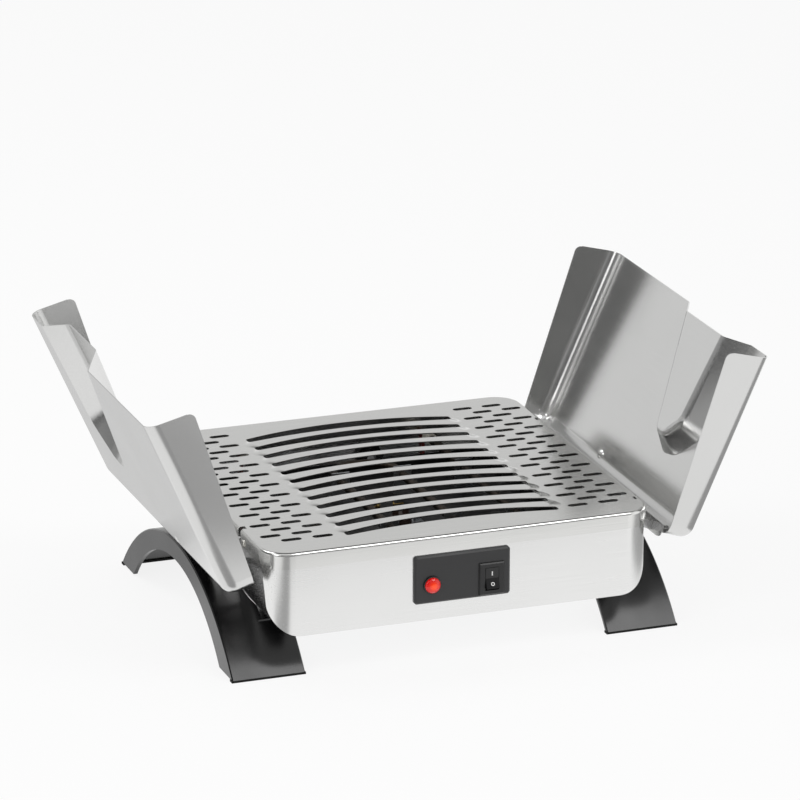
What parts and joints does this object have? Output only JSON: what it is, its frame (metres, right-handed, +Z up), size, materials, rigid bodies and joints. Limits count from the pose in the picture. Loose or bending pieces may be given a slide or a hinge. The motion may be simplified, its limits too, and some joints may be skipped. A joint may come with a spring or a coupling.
{
  "type": "plate warmer cabinet",
  "caption": "Low electric plate warmer: a perforated stainless warming tray on black arched feet, with two folding cover wings, a rocker switch and a red lamp.",
  "frame": {"origin": "on the ground, under the middle of the object's footprint", "axes": "+X to the right wing, across the two wings; +Y to the back, away from the switch; +Z up"},
  "size_m": [0.4808, 0.3044, 0.2125],
  "materials": {
    "lid_steel": "brushed stainless",
    "pan_steel": "fine satin stainless",
    "wing_steel": "satin stainless",
    "arm_steel": "plain pressed stainless",
    "rivet_steel": "polished",
    "fastener_steel": "bright plated",
    "zinc_steel": "dull zinc plate",
    "black_plastic": "fine-grained black",
    "panel_plastic": "semi-gloss black",
    "switch_plastic": "semi-gloss black with white I and O",
    "lamp_red": "translucent red",
    "pad_rubber": "matte",
    "reflector_aluminium": "bright rolled",
    "element_steel": "dark oxide",
    "bush_ceramic": null,
    "terminal_brass": "plain",
    "thermostat_body": "dark brown moulding",
    "fuse_brass": "plain",
    "block_plastic": "off-white",
    "wire_insulation": "silicone sleeve"
  },
  "bodies": {
    "base": {"housing_pan": "pan_steel", "lid": "lid_steel", "bottom_cover": "zinc_steel", "bottom_cover_screws": "fastener_steel", "foot_left": "black_plastic", "foot_right": "black_plastic", "foot_pads": "pad_rubber", "foot_screws": "fastener_steel", "reflector_tray": "reflector_aluminium", "tray_posts": "zinc_steel", "tray_screws": "fastener_steel", "heater_element": "element_steel", "heater_brackets": "zinc_steel", "heater_bushes": "bush_ceramic", "heater_pins": "terminal_brass", "thermostat": "thermostat_body", "thermostat_clamp": "zinc_steel", "thermal_fuse": "fuse_brass", "fuse_clip": "zinc_steel", "terminal_block": "block_plastic", "terminal_screws": "fastener_steel", "earth_stud": "terminal_brass", "earth_nut": "terminal_brass", "switch_wires": "wire_insulation", "heater_wires": "wire_insulation", "lamp_wires": "wire_insulation", "cable_gland": "black_plastic", "gland_nut": "black_plastic", "control_panel": "panel_plastic", "lamp_body": "black_plastic", "lamp_lens": "lamp_red", "lamp_nut": "zinc_steel", "switch_body": "switch_plastic", "switch_terminals": "terminal_brass", "hinge_brackets": "zinc_steel", "hinge_pins": "fastener_steel", "hinge_rivets": "rivet_steel"},
    "right_wing": {"wing_right": "wing_steel", "wing_right_arms": "arm_steel", "wing_right_rivets": "rivet_steel"},
    "left_wing": {"wing_left": "wing_steel", "wing_left_arms": "arm_steel", "wing_left_rivets": "rivet_steel"},
    "rocker": {"switch_rocker": "switch_plastic"}
  },
  "joints": [
    {"name": "wing_right_fold", "type": "hinge", "parent": "base", "child": "right_wing", "pos_m": [0.1457, 0, 0.0832], "axis": [0, -1, 0], "range_deg": [0, 108.25]},
    {"name": "wing_left_fold", "type": "hinge", "parent": "base", "child": "left_wing", "pos_m": [-0.1457, 0, 0.0832], "axis": [0, 1, 0], "range_deg": [0, 108.25]},
    {"name": "rocker_tilt", "type": "hinge", "parent": "base", "child": "rocker", "pos_m": [0.021, -0.1452, 0.061], "axis": [1, 0, 0], "range_deg": [0, 18]}
  ]
}
